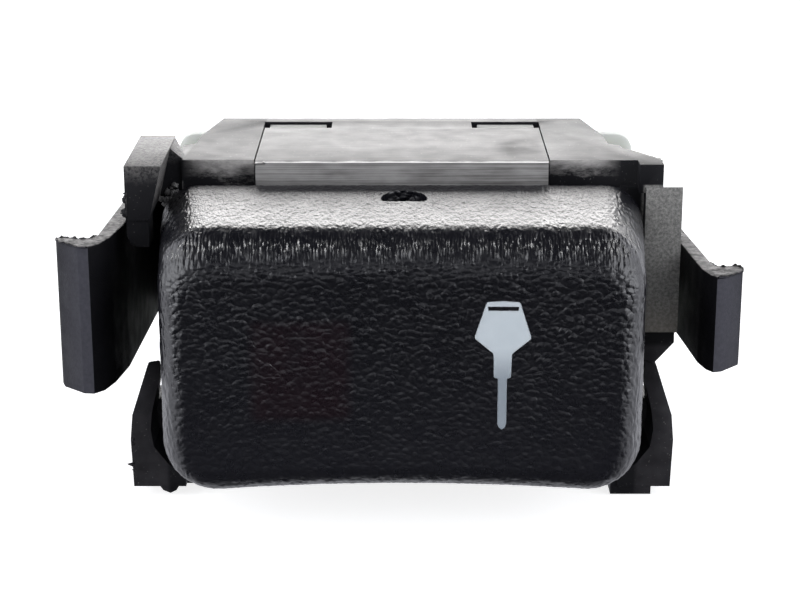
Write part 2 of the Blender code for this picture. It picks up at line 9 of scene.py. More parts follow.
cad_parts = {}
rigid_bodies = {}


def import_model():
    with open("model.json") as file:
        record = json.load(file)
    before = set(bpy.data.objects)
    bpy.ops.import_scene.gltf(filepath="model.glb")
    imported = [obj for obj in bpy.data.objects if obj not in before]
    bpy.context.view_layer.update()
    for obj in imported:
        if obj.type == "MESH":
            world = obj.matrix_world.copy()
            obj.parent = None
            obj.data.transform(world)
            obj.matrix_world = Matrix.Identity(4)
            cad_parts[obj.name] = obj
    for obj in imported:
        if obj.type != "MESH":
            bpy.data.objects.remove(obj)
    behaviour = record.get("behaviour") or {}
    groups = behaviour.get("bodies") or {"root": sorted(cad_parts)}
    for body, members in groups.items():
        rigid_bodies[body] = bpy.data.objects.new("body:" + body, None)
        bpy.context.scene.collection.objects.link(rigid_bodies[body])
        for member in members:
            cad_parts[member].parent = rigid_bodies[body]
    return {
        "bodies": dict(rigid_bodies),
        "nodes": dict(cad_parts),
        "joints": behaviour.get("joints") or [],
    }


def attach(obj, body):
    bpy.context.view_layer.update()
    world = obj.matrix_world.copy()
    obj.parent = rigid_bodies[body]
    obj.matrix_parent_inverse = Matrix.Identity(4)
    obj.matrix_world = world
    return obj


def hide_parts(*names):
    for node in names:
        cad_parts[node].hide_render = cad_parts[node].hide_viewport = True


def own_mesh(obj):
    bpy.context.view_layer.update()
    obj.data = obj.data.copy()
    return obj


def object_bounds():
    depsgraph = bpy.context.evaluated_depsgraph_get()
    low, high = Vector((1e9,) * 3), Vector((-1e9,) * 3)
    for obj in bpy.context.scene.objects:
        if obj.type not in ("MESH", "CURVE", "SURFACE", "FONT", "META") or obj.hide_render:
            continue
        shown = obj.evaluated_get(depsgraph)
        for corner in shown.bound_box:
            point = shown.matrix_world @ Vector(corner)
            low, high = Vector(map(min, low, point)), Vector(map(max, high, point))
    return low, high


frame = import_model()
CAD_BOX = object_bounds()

# Drawing frame: millimetres, X right, Y back from the cap's front face, Z up from the pivot's height.
MM = 0.001
PIVOT_Y = 25.0
JOINTS = {joint["name"]: joint for joint in frame["joints"]}
ORIGIN = Vector(JOINTS["rocker_tilt"]["pos_m"]) - Vector((0, PIVOT_Y * MM, 0))

# Cap, as in the CAD model.
CAP_HALF_WIDTH = 22.35
CAP_TOP = 11.8
CAP_BOTTOM = -12.9
CAP_DEPTH = 14.3
CAP_WALL = 1.5
CAP_TOP_CORNER = 4.6
CAP_BOTTOM_CORNER = 5.0
CAP_CORNER_TIGHTENING = 0.8
CAP_SIDE_FLARE = 0.95
CAP_EDGE = 2.6
CAP_TOP_EDGE = 4.2
CAP_DISH = 0.4
CAP_BOW = 0.6
TOP_FLARE = 0.0095
BOTTOM_FLARE = 0.004
FACE_CORNER = 2.4
FLOOR_FILLET = 1.3
RIM_EDGE = 0.12

# How finely the cap is skinned: points along its top, sides and corners, and rings from its middle
# back over its face, its rounded edge and its sides.
TOP_POINTS = 250
SIDE_POINTS = 110
CORNER_POINTS = 44
FACE_RINGS = 72
EDGE_RINGS = 46
SIDE_RINGS = 66

# Leather grain: how deep it is, and how wide its cells are across and along each surface.
FRONT_GRAIN = 0.1
TOP_GRAIN = 0.036
SIDE_GRAIN = 0.08
BAND_GRAIN = 0.095
FRONT_CELL = (0.76, 0.55)
SIDE_CELL = (0.55, 1.2)
TOP_CELL = (0.48, 1.15)

# The camera's place in the drawing frame, its focal length in mm and how far down it looks.
CAMERA_PLACE = (-0.19, -172.3, 59.6)
CAMERA_LENS = 90
CAMERA_TILT = 17.2

# The plungers' place at each side, the raised panel's half width with the groove beside it, from and
# to, and the places of the key and the red window on the cap.
POLE_X = 14.4
PANEL_HALF_WIDTH = 14.2
GROOVE = (0.02, 0.16)
KEY_X = 9.18
WINDOW_X = -9.3
WINDOW_Z = -0.7

# The base's hooks, above and below: their lowest height, how much further they rise into the snap
# slots, and how steeply that falls off to the rear.
HOOK_Z = 14.2
HOOK_REAR = 34.5
HOOK_RISE = 0.38
HOOK_SLOPE = 0.45
HOOK_SLOPE_Y = 32.6

# How wide the bevels are: on the housing and wings, on the base, and on the inner parts.
EDGE = 0.16
BASE_EDGE = 0.12
FINE_EDGE = 0.08

# Studio light: how bright each panel and each part of the surroundings looks. Lengths in metres.
# The back light only shows in gloss. Its strips have a place, a width and a share of its radiance.
BACK_STRIPS = [(0, 0.42, 1), (-0.27, 0.12, 0.4), (0.27, 0.12, 0.4), (-0.4, 0.14, 0.14), (0.4, 0.14, 0.14)]
BACK_Y = 0.5
BACK_Z = 0.205
BACK_HEIGHT = 0.28
BACK_COLOR = (1.0, 0.985, 0.97)
BACK_RADIANCE = 7.8
BACK_FILL = 1.5
FILL_WIDTH = 1.1
SIDE_PLACE = (0.36, -0.22, 0.17)
SIDE_SIZE = 0.34
SPARK_PLACE = (0.32, -0.05, 0.40)
SPARK_SIZE = 0.075
SIDE_RADIANCE = 1.7
SPARK_RADIANCE = 24.0
SIDE_GLOW = 1.15
FRONT_GLOW = 0.42
REAR_GLOW = 0.75


def place(x, y, z):
    return ORIGIN + Vector((x, y, z)) * MM


# ---------------------------------------------------------------- materials


class Nodes:
    """A short way to wire a material's nodes."""

    def __init__(self, name):
        self.material = bpy.data.materials.new(name)
        self.material.use_nodes = True
        self.tree = self.material.node_tree
        self.shader = self.tree.nodes["Principled BSDF"]

    def add(self, kind, links=(), **values):
        node = self.tree.nodes.new(kind)
        for key, value in values.items():
            setattr(node, key, value)
        for socket, source in dict(links).items():
            self.feed(node.inputs[socket], source)
        return node

    def feed(self, socket, source):
        if isinstance(source, bpy.types.NodeSocket):
            self.tree.links.new(source, socket)
        elif isinstance(source, tuple) and len(source) == 3 and socket.type == "RGBA":
            socket.default_value = (*source, 1.0)
        else:
            socket.default_value = source

    def set(self, **values):
        for key, value in values.items():
            self.feed(self.shader.inputs[key.replace("_", " ")], value)
        return self.material

    def scaled(self, factor, offset=(0, 0, 0)):
        """The place on the piece, in metres, times one factor or a factor for each axis."""
        if not isinstance(factor, tuple):
            factor = (factor,) * 3
        coordinates = self.add("ShaderNodeTexCoord").outputs["Object"]
        links = {"Vector": coordinates, "Scale": factor, "Location": offset}
        return self.add("ShaderNodeMapping", links).outputs[0]

    def noise(self, per_mm, detail=3.0, stretch=(1, 1, 1), rough=0.5):
        vector = self.scaled(tuple(s / MM for s in stretch))
        links = {"Vector": vector, "Scale": per_mm, "Detail": detail, "Roughness": rough}
        return self.add("ShaderNodeTexNoise", links).outputs["Fac"]

    def ramp(self, source, low, high, from_value=0.0, to_value=1.0):
        sockets = ("Value", "From Min", "From Max", "To Min", "To Max")
        links = dict(zip(sockets, (source, low, high, from_value, to_value)))
        return self.add("ShaderNodeMapRange", links).outputs["Result"]

    def math(self, operation, a, b=0.0):
        node = self.add("ShaderNodeMath", operation=operation)
        self.feed(node.inputs[0], a)
        self.feed(node.inputs[1], b)
        return node.outputs[0]

    def mix(self, factor, a, b):
        node = self.add("ShaderNodeMix", data_type="RGBA")
        self.feed(node.inputs["Factor"], factor)
        self.feed(node.inputs[6], a)
        self.feed(node.inputs[7], b)
        return node.outputs[2]

    def bump(self, height, strength, distance_mm, normal=None):
        links = {"Height": height, "Strength": strength, "Distance": distance_mm * MM}
        if normal:
            links["Normal"] = normal
        return self.add("ShaderNodeBump", links).outputs["Normal"]

    def axis(self, name):
        vector = self.scaled(1 / MM, tuple(-c / MM for c in ORIGIN))
        return self.add("ShaderNodeSeparateXYZ", {"Vector": vector}).outputs[name]

    def facing(self, name):
        """One part of the direction that the piece's own surface faces."""
        vector = self.add("ShaderNodeTexCoord").outputs["Normal"]
        return self.add("ShaderNodeSeparateXYZ", {"Vector": vector}).outputs[name]

    def within(self, source, centre, half, soft):
        """1 within half of the centre, falling to 0 over soft."""
        away = self.math("ABSOLUTE", self.math("SUBTRACT", source, centre))
        return self.ramp(away, half, half + soft, 1.0, 0.0)

    def times(self, *factors):
        product = factors[0]
        for factor in factors[1:]:
            product = self.math("MULTIPLY", product, factor)
        return product

    def pebbles(self, cells, sway, at=0.0):
        """Low in the middle of rounded cells and high in their creases, with cells per mm on each axis."""
        wave = self.add("ShaderNodeTexNoise", {"Vector": self.scaled(1 / MM), "Scale": 0.9, "Detail": 2.0})
        sways = {0: wave.outputs["Color"], 1: (sway,) * 3}
        shift = self.add("ShaderNodeVectorMath", sways, operation="MULTIPLY").outputs[0]
        grid = self.scaled(tuple(c / MM for c in cells), (at,) * 3)
        moved = self.add("ShaderNodeVectorMath", {0: grid, 1: shift}, operation="ADD").outputs[0]
        return self.add("ShaderNodeTexVoronoi", {"Vector": moved, "Scale": 1.0}).outputs["Distance"]

    def blend(self, factor, a, b):
        node = self.add("ShaderNodeMix", data_type="FLOAT")
        for socket, source in ((0, factor), (2, a), (3, b)):
            self.feed(node.inputs[socket], source)
        return node.outputs[0]


def cap_material():
    n = Nodes("cap_black")
    red = n.times(
        n.within(n.axis("X"), WINDOW_X, 4.0, 1.0), n.within(n.axis("Z"), WINDOW_Z, 4.2, 1.0),
        n.ramp(n.axis("Y"), 0.9, 2.0, 1.0, 0.0), n.ramp(n.noise(0.6, 3.0), 0.25, 0.6, 0.55, 1.0),
    )
    tone = n.mix(n.noise(0.35, 4.0), (0.0040, 0.0042, 0.0068), (0.0068, 0.0070, 0.0105))
    # Painted light: the face is painted lighter towards its bottom, for the floor's light that reflects
    # there.
    tone = n.mix(n.ramp(n.axis("Z"), 2.0, -9.0, 0.0, 0.5), tone, (0.012, 0.012, 0.017))
    color = n.mix(red, tone, (0.0105, 0.0036, 0.0070))
    up = n.ramp(n.facing("Z"), 0.3, 0.55)
    level = n.ramp(n.facing("Z"), 0.9, 0.98)
    side = n.ramp(n.math("ABSOLUTE", n.facing("X")), 0.35, 0.75)
    worn = n.ramp(n.axis("Z"), -9.0, 4.0, 0.45, 1.0)
    ripples = n.times(n.pebbles((1.45, 0.25, 2.1), 0.8), worn)
    height = n.blend(side, ripples, n.times(n.pebbles((2.4, 2.4, 1.0), 0.6, 5.0), 0.62))
    band = n.times(n.pebbles((3.3, 1.15, 0.6), 0.7, 9.0), 0.8)
    speckle = n.times(n.noise(2.6, 2.0, (1, 0.5, 1), 0.65), 1.3)
    height = n.blend(up, height, n.blend(level, band, speckle))
    fine = n.bump(n.noise(7.0, 4.0, rough=0.65), 0.5, 0.02)
    normal = n.bump(n.math("SUBTRACT", 1.0, height), 1.0, 0.13, fine)
    rough = n.math("ADD", n.ramp(n.noise(0.4, 4.0), 0.3, 0.7, 0.25, 0.32), n.times(level, 0.05))
    n.set(Specular_IOR_Level=0.95)
    return n.set(Base_Color=color, Roughness=rough, Normal=normal)


def housing_material():
    """Moulded black plastic: a brushed and worn panel edge with a painted highlight along it, scuffed
    fronts beside it, and stippled lugs and peg that carry painted light.
    """
    n = Nodes("housing_black")
    x, y, z = n.axis("X"), n.axis("Y"), n.axis("Z")
    front = n.ramp(n.facing("Y"), -0.55, -0.8, 0.0, 1.0)
    up = n.ramp(n.facing("Z"), 0.7, 0.9)
    high = n.ramp(z, 12.2, 12.5)
    color = n.mix(n.noise(0.25, 5.0), (0.007, 0.007, 0.009), (0.017, 0.017, 0.020))
    patches = n.times(n.noise(0.8, 4.0, (0.4, 1, 1)), 0.4)
    streaks = n.math("ADD", n.noise(1.0, 5.0, (0.05, 1.0, 8.0), 0.75), patches)
    brushed = n.mix(n.ramp(streaks, 0.5, 0.9), (0.12, 0.115, 0.11), (0.50, 0.49, 0.48))
    panel_front = n.times(n.within(x, 0.0, 14.15, 0.02), front, high, n.ramp(y, 17.0, 16.6))
    color = n.mix(panel_front, color, brushed)
    lower = n.times(n.ramp(x, 0.0, -1.0), n.within(x, -16.4, 1.9, 2.2), 0.1)
    scuff_edge = n.math("ADD", n.ramp(z, 12.6, 15.1, -0.22, 0.30), n.noise(0.7, 7.0, (0.5, 1, 1.3), 0.72))
    scuff_edge = n.math("ADD", scuff_edge, lower)
    inner = n.ramp(n.math("ABSOLUTE", x), 19.0, 21.3, 1.0, 0.0)
    side_front = n.times(n.ramp(n.math("ABSOLUTE", x), 14.2, 14.3), front, high, n.ramp(y, 17.6, 17.3))
    scuff = n.times(side_front, inner, n.ramp(scuff_edge, 0.5, 0.95))
    color = n.mix(scuff, color, (0.62, 0.60, 0.58))
    # Near-white strip along the top of the panel's front edge: a rubbed edge, painted much lighter as a
    # highlight.
    edge = n.math("ADD", y, n.times(n.noise(0.5, 4.0), 0.9))
    worn = n.times(n.ramp(n.facing("Z"), 0.3, 0.6), n.ramp(edge, 17.0, 16.6), n.within(x, 0.0, 14.15, 0.02))
    color = n.mix(worn, color, (0.85, 0.82, 0.80))
    smudge = n.times(up, n.within(x, 11.4, 1.0, 1.6), n.within(y, 22.5, 1.6, 2.6), n.noise(0.5, 4.0))
    lugs = n.times(n.ramp(x, 23.2, 23.5), n.within(z, 5.8, 7.3, 0.15), n.ramp(y, 17.6, 17.4))
    stipple = n.ramp(n.noise(3.2, 4.0, rough=0.7), 0.38, 0.62)
    grey = n.mix(stipple, (0.18, 0.18, 0.174), (0.38, 0.374, 0.355))
    # Painted highlight: the lower part of the lugs' stippled fronts is painted warmer, for yellowish
    # highlights.
    grey = n.mix(n.times(n.ramp(z, 2.5, -1.0), 0.5), grey, (0.26, 0.23, 0.19))
    color = n.mix(n.times(lugs, front), color, grey)
    peg = n.times(n.ramp(x, -21.4, -21.6), n.ramp(y, 22.6, 22.4), n.ramp(z, 11.0, 11.3))
    # The peg's stippled frost is real, but it is painted lighter towards its top and on its side facing the
    # cap: painted light.
    frost_and_painted_light = n.ramp(n.math("ADD", z, n.noise(1.2, 3.0)), 15.2, 17.3)
    painted_light_side = n.times(n.ramp(n.facing("X"), 0.25, 0.5), n.ramp(z, 11.5, 14.0))
    frost_and_painted_light = n.times(peg, n.math("MAXIMUM", frost_and_painted_light, painted_light_side), n.ramp(n.noise(3.2, 4.0, rough=0.7), 0.36, 0.6))
    color = n.mix(n.times(frost_and_painted_light, 0.6), color, (0.26, 0.25, 0.24))
    stops = n.times(n.ramp(n.math("ABSOLUTE", x), 22.8, 23.2), n.ramp(z, -2.9, -3.4), front)
    color = n.mix(n.times(stops, n.noise(0.7, 5.0)), color, (0.056, 0.053, 0.058))
    # Painted glints: the torn crumbs by the peg are painted pale grey.
    torn = n.times(n.within(x, -22.7, 1.3, 0.2), n.within(z, 11.7, 1.3, 0.2), n.within(y, 16.95, 0.3, 0.02))
    color = n.mix(n.times(torn, n.noise(2.0, 3.0)), color, (0.34, 0.335, 0.33))
    specks = n.ramp(n.noise(4.5, 2.0), 0.68, 0.78)
    color = n.mix(n.times(specks, 0.4), color, (0.30, 0.29, 0.27))
    rough = n.ramp(n.noise(0.5, 4.0), 0.3, 0.7, 0.42, 0.49)
    matt = n.math("ADD", smudge, n.math("ADD", lugs, n.times(peg, 0.6)))
    rough = n.math("ADD", rough, n.times(matt, 0.16))
    beside = n.times(n.ramp(n.math("ABSOLUTE", x), 14.2, 14.3), n.math("SUBTRACT", 1.0, peg))
    rough = n.math("ADD", rough, n.times(n.math("ADD", beside, n.ramp(y, 24.0, 33.0)), 0.07))
    n.set(Specular_IOR_Level=0.22)
    drawn = n.times(n.noise(2.4, 4.0, (0.12, 1.3, 1.3), 0.6), 0.35)
    grain = n.blend(n.math("MAXIMUM", lugs, peg), drawn, n.noise(5.0, 4.0, rough=0.7))
    grain = n.blend(panel_front, grain, streaks)
    return n.set(Base_Color=color, Roughness=rough, Normal=n.bump(grain, 0.5, 0.08))


def wing_material():
    """Rough saw-cut ends, frosted lips painted lighter on their outward, front-facing facets as painted
    light, and dark, smooth arms.
    """
    n = Nodes("wing_black")
    color = n.mix(n.noise(0.4, 5.0), (0.003, 0.003, 0.004), (0.006, 0.006, 0.008))
    n.set(Specular_IOR_Level=0.12)
    # The lips' outward, front-facing facets get a paler frosted colour: frosting, painted lighter there as
    # painted light.
    away = n.times(n.facing("X"), n.math("SIGN", n.axis("X")))
    level = n.math("ABSOLUTE", n.facing("Z"))
    lip = n.times(n.ramp(n.axis("Y"), 9.5, 7.5), n.ramp(level, 0.5, 0.3), n.ramp(away, -0.1, 0.05))
    painted_light_facing = n.ramp(n.facing("Y"), -0.45, -0.85)
    frosted_and_painted_light = n.mix(n.noise(3.0, 4.0), (0.045, 0.045, 0.055), (0.085, 0.085, 0.102))
    color = n.mix(n.times(lip, painted_light_facing), color, frosted_and_painted_light)
    ends = n.ramp(n.facing("Z"), 0.6, 0.8)
    torn = n.mix(n.ramp(n.noise(1.6, 5.0), 0.4, 0.65), (0.02, 0.02, 0.021), (0.20, 0.19, 0.19))
    color = n.mix(ends, color, torn)
    rough = n.ramp(n.noise(0.6, 4.0), 0.3, 0.7, 0.5, 0.66)
    grain = n.math("ADD", n.noise(5.0, 4.0, rough=0.7), n.times(ends, n.noise(1.3, 4.0), 2.0))
    return n.set(Base_Color=color, Roughness=rough, Normal=n.bump(grain, 0.45, 0.09))


def moulded_material(name, dark, light, roughness, stipple):
    """Plain moulded plastic with a few pale specks."""
    n = Nodes(name)
    color = n.mix(n.noise(0.25, 5.0), dark, light)
    specks = n.ramp(n.noise(3.2, 2.0), 0.62, 0.74)
    color = n.mix(n.times(specks, 0.35), color, tuple(min(1.0, 3 * c + 0.02) for c in light))
    rough = n.ramp(n.noise(0.5, 4.0), 0.3, 0.7, roughness - 0.06, roughness + 0.06)
    normal = n.bump(n.noise(3.0, 4.0, rough=0.65), stipple, 0.06)
    return n.set(Base_Color=color, Roughness=rough, Normal=normal)


def nylon_material(name, color, roughness=0.45, subsurface=0.25, scale_mm=0.8):
    """Pale translucent plastic, with painted shade greying the hooks that stand in the snap slots."""
    n = Nodes(name)
    shade = tuple(c * 0.86 for c in color)
    tone = n.mix(n.noise(0.3, 4.0), shade, color)
    # Painted shade: the hooks that stand in the snap slots are painted darker.
    painted_shade_on_hook = n.times(n.ramp(n.math("ABSOLUTE", n.axis("Z")), 13.9, 14.1), n.ramp(n.axis("Y"), 34.4, 34.2))
    tone = n.mix(n.times(painted_shade_on_hook, 0.75), tone, tuple(c * 0.3 for c in color))
    normal = n.bump(n.noise(1.6, 4.0), 0.25, 0.04)
    rough = n.ramp(n.noise(0.6, 3.0), 0.3, 0.7, roughness - 0.05, roughness + 0.08)
    n.set(Subsurface_Weight=subsurface, Subsurface_Radius=(1.0, 1.0, 1.0), Subsurface_Scale=scale_mm * MM)
    n.set(Specular_IOR_Level=0.25)
    return n.set(Base_Color=tone, Roughness=rough, Normal=normal)


def key_material():
    n = Nodes("symbol_white")
    # Painted shade: the key's shaft is painted dark, as shade.
    painted_shade_on_shaft = n.ramp(n.axis("Z"), -1.5, 1.5, 0.55, 0.0)
    tone = n.mix(n.noise(0.8, 4.0), (0.62, 0.69, 0.735), (0.71, 0.775, 0.81))
    tone = n.mix(painted_shade_on_shaft, tone, (0.06, 0.09, 0.14))
    n.set(Subsurface_Weight=0.3, Subsurface_Radius=(1.0, 1.0, 1.0), Subsurface_Scale=0.6 * MM)
    rough = n.ramp(n.noise(1.5, 3.0), 0.3, 0.7, 0.42, 0.55)
    return n.set(Base_Color=tone, Roughness=rough, Normal=n.bump(n.noise(3.0, 3.0), 0.2, 0.03))


def metal_material(name, dark, light, roughness, brush=(1, 1, 1)):
    n = Nodes(name)
    color = n.mix(n.noise(0.4, 5.0), dark, light)
    rough = n.ramp(n.noise(2.0, 4.0, brush), 0.3, 0.7, roughness - 0.08, roughness + 0.1)
    n.set(Metallic=1.0)
    return n.set(Base_Color=color, Roughness=rough, Normal=n.bump(n.noise(4.0, 4.0, brush), 0.15, 0.02))


def clear_material(name, tint, roughness):
    n = Nodes(name)
    color = n.mix(n.noise(0.5, 3.0), tint, tuple(c * 0.93 for c in tint))
    rough = n.ramp(n.noise(1.2, 3.0), 0.3, 0.7, roughness, roughness + 0.06)
    n.set(Transmission_Weight=0.85, IOR=1.5)
    return n.set(Base_Color=color, Roughness=rough, Normal=n.bump(n.noise(1.5, 2.0), 0.08, 0.02))


# ---------------------------------------------------------------- mesh helpers


def new_object(name, mesh, body, material, replaces=()):
    obj = bpy.data.objects.new(name, mesh)
    bpy.context.scene.collection.objects.link(obj)
    mesh.materials.clear()
    mesh.materials.append(material)
    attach(obj, body)
    if replaces:
        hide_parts(*replaces)
    return obj


def smooth(mesh, degrees=35):
    mesh.shade_smooth()
    mesh.set_sharp_from_angle(angle=math.radians(degrees))


def apply_modifiers(obj):
    """Gives the object the mesh that its modifiers make."""
    bpy.context.view_layer.update()
    evaluated = obj.evaluated_get(bpy.context.evaluated_depsgraph_get())
    mesh = bpy.data.meshes.new_from_object(evaluated)
    obj.modifiers.clear()
    old = obj.data
    obj.data = mesh
    bpy.data.meshes.remove(old)
    return obj


def outline_mesh(name, outlines, axis, low, high, bevel=0.0, resolution=3):
    """Outlines, the first one around the others' holes, drawn out along an axis with rounded edges."""
    curve = bpy.data.curves.new(name, "CURVE")
    curve.dimensions = "2D"
    curve.fill_mode = "BOTH"
    curve.extrude = ((high - low) / 2 - bevel) * MM
    curve.bevel_depth = bevel * MM
    curve.offset = -bevel * MM
    curve.bevel_resolution = resolution
    for outline in outlines:
        spline = curve.splines.new("POLY")
        spline.points.add(len(outline) - 1)
        for point, (u, v) in zip(spline.points, outline):
            point.co = (u * MM, v * MM, 0, 1)
        spline.use_cyclic_u = True
    guide = bpy.data.objects.new(name, curve)
    bpy.context.scene.collection.objects.link(guide)
    bpy.context.view_layer.update()
    mesh = bpy.data.meshes.new_from_object(guide.evaluated_get(bpy.context.evaluated_depsgraph_get()))
    turn = {
        "X": Matrix(((0, 0, 1), (1, 0, 0), (0, 1, 0))).to_4x4(),
        "Y": Matrix.Rotation(math.radians(90), 4, "X"),
        "Z": Matrix.Identity(4),
    }[axis]
    middle = Vector([(low + high) / 2 if letter == axis else 0 for letter in "XYZ"])
    mesh.transform(Matrix.Translation(place(*middle)) @ turn)
    bpy.data.objects.remove(guide)
    bpy.data.curves.remove(curve)
    weld(mesh)
    return mesh


def weld(mesh, distance=2e-6):
    shape = bmesh.new()
    shape.from_mesh(mesh)
    bmesh.ops.remove_doubles(shape, verts=shape.verts, dist=distance)
    bmesh.ops.recalc_face_normals(shape, faces=shape.faces)
    shape.to_mesh(mesh)
    shape.free()


def box_mesh(name, x_range, y_range, z_range):
    mesh = bpy.data.meshes.new(name)
    shape = bmesh.new()
    low, high = place(x_range[0], y_range[0], z_range[0]), place(x_range[1], y_range[1], z_range[1])
    bmesh.ops.create_cube(shape, size=1)
    for vert in shape.verts:
        vert.co = Vector([(low[i] + high[i]) / 2 + vert.co[i] * (high[i] - low[i]) for i in range(3)])
    shape.to_mesh(mesh)
    shape.free()
    return mesh


def cut_with(obj, meshes):
    """Takes the meshes' volumes out of the object."""
    helpers = []
    for mesh in meshes:
        helper = bpy.data.objects.new("cutter", mesh)
        bpy.context.scene.collection.objects.link(helper)
        helpers.append(helper)
        modifier = obj.modifiers.new("cut", "BOOLEAN")
        modifier.operation = "DIFFERENCE"
        modifier.solver = "EXACT"
        modifier.object = helper
    apply_modifiers(obj)
    for helper in helpers:
        mesh = helper.data
        bpy.data.objects.remove(helper)
        bpy.data.meshes.remove(mesh)
    return obj


def refined(node, width, segments=2, sharp=28):
    """A CAD node's mesh without its flat triangles' seams, and with its edges rounded."""
    mesh = frame["nodes"][node].data.copy()
    mesh.name = node + "_mesh"
    shape = bmesh.new()
    shape.from_mesh(mesh)
    bmesh.ops.remove_doubles(shape, verts=shape.verts, dist=1e-6)
    flat = math.radians(0.6)
    bmesh.ops.dissolve_limit(shape, angle_limit=flat, verts=shape.verts, edges=shape.edges)
    limit = math.radians(sharp)
    edges = [edge for edge in shape.edges if len(edge.link_faces) == 2 and edge.calc_face_angle(0) > limit]
    bmesh.ops.bevel(
        shape, geom=edges, offset=width * MM, segments=segments, profile=0.5, affect="EDGES",
        clamp_overlap=True,
    )
    shape.to_mesh(mesh)
    shape.free()
    smooth(mesh, 30)
    return mesh


# ---------------------------------------------------------------- the cap


def dense_outline(half_width, low, high, top_corner, bottom_corner):
    """A rounded outline with many points, as rows of x, z and how far up each faces."""
    parts = []
    corners = [
        (1, -1, bottom_corner, -90), (1, 1, top_corner, 0),
        (-1, 1, top_corner, 90), (-1, -1, bottom_corner, 180),
    ]
    straights = [SIDE_POINTS, TOP_POINTS, SIDE_POINTS, TOP_POINTS]
    for (side, up, corner, start), count in zip(corners, straights):
        angle = np.radians(start + 90 * np.arange(CORNER_POINTS + 1) / CORNER_POINTS)
        x = side * (half_width - corner) + corner * np.cos(angle)
        z = (high - corner if up > 0 else low + corner) + corner * np.sin(angle)
        parts.append((x, z, np.sin(angle), count))
    rows = []
    for i, (x, z, up, count) in enumerate(parts):
        after = parts[(i + 1) % 4]
        rows.append(np.stack([x, z, up], 1))
        steps = (np.arange(1, count) / count)[:, None]
        start, end = rows[-1][-1], np.array([after[0][0], after[1][0], after[2][0]])
        rows.append(start + (end - start) * steps)
    return np.concatenate(rows)


def section(inset=0.0, rearward=0.0):
    """The cap's outline, from its front, 0, to its rear, 1."""
    tightening = CAP_CORNER_TIGHTENING * rearward + inset
    half_width = CAP_HALF_WIDTH + CAP_SIDE_FLARE * rearward - inset
    corners = CAP_TOP_CORNER - tightening, CAP_BOTTOM_CORNER - tightening
    return dense_outline(half_width, CAP_BOTTOM + inset, CAP_TOP - inset, *corners)


def flared(x, y, z):
    """The height grows towards the rear, and the bottom edge bows up in its middle."""
    bow = CAP_BOW * np.maximum(0, 1 - (x / 17.0) ** 2) * z / CAP_BOTTOM
    return np.stack([x, y, np.where(z > 0, z * (1 + TOP_FLARE * y), z * (1 + BOTTOM_FLARE * y) + bow)], 1)


def dish(x, z):
    return CAP_DISH * np.maximum(0, 1 - (x / 20.0) ** 2) * np.maximum(0, 1 - (z / 11.0) ** 2)


def cap_rings():
    rings = []
    low, high = CAP_BOTTOM + CAP_EDGE, CAP_TOP - CAP_TOP_EDGE
    deepest = (high - low) / 2
    for k in range(FACE_RINGS):
        inset = deepest * (1 - k / FACE_RINGS)
        corner = max(FACE_CORNER * (1 - inset / deepest), 0.0)
        ring = dense_outline(CAP_HALF_WIDTH - CAP_EDGE - inset, low + inset, high - inset, corner, corner)
        rings.append(flared(ring[:, 0], dish(ring[:, 0], ring[:, 1]), ring[:, 1]))
    face = dense_outline(CAP_HALF_WIDTH - CAP_EDGE, low, high, FACE_CORNER, FACE_CORNER)
    full = section()
    depth = CAP_EDGE + (CAP_TOP_EDGE - CAP_EDGE) * np.maximum(0, full[:, 2])
    for k in range(EDGE_RINGS + 1):
        angle = math.radians(90 * k / EDGE_RINGS)
        flat = face + (full - face) * math.sin(angle)
        y = depth * (1 - math.cos(angle))
        y = y + dish(flat[:, 0], flat[:, 1]) * (1 - k / EDGE_RINGS)
        rings.append(flared(flat[:, 0], y, flat[:, 1]))
    front, rear = rings[-1], section(0.0, 1.0)
    rear = flared(rear[:, 0], np.full(len(rear), CAP_DEPTH), rear[:, 1])
    for k in range(1, SIDE_RINGS + 1):
        rings.append(front + (rear - front) * k / SIDE_RINGS)
    return rings


def inner_rings():
    """The rim, the inside walls and the inside floor."""
    floor_y = CAP_DISH + CAP_WALL
    steps = [
        (RIM_EDGE, 1.0, CAP_DEPTH), (CAP_WALL - RIM_EDGE, 1.0, CAP_DEPTH), (CAP_WALL, 1.0, CAP_DEPTH - 0.1),
        (CAP_WALL, 0.0, floor_y + FLOOR_FILLET), (CAP_WALL + FLOOR_FILLET, 0.0, floor_y),
    ]
    rings = []
    for inset, rearward, y in steps:
        ring = section(inset, rearward)
        rings.append(flared(ring[:, 0], np.full(len(ring), y), ring[:, 1]))
    return rings


def pebble(a, b, at):
    """A rounded cell's height, lowest in the creases between cells and 1 on top."""
    near = noise.voronoi(Vector((a, b, at)))[0]
    dome = 1.0 - min(1.0, near[0])
    crease = min(1.0, (near[1] - near[0]) * 2.4)
    return 0.5 * dome + 0.5 * crease


def share(value, low, high):
    return min(1.0, max(0.0, (value - low) / (high - low)))


def grain(point, normal):
    """How far the leather grain sinks at a point: wavy in front, finer on top and at the sides."""
    x, y, z = point
    sway = noise.noise(Vector((x * 0.3, y * 0.3, z * 0.3))) * 1.1
    ripple = noise.noise(Vector((x * 1.3, y * 1.3, z * 1.3 + 7.0))) * 0.35
    worn = 1 - 0.6 * share(-z, -5.0, 9.0)
    front = pebble(x / FRONT_CELL[0] + ripple, z / FRONT_CELL[1] + sway + ripple, 3.0)
    aside = share(abs(normal.x), 0.35, 0.75)
    up = share(abs(normal.z), 0.25, 0.6)
    level = share(abs(normal.z), 0.8, 0.95)
    depth = FRONT_GRAIN * worn * (1 - front) * (1 - aside) * (1 - up)
    if aside > 0:
        side = pebble(y / SIDE_CELL[0] + ripple, z / SIDE_CELL[1] + x / 0.6 + ripple, 21.0)
        depth += aside * (1 - up) * SIDE_GRAIN * (1 - side)
    if up > 0:
        height = BAND_GRAIN + (TOP_GRAIN - BAND_GRAIN) * level
        top = pebble(x / TOP_CELL[0] + ripple, y / TOP_CELL[1] + z / 3.0 + ripple, 9.0)
        depth += up * height * (1 - top)
    return depth


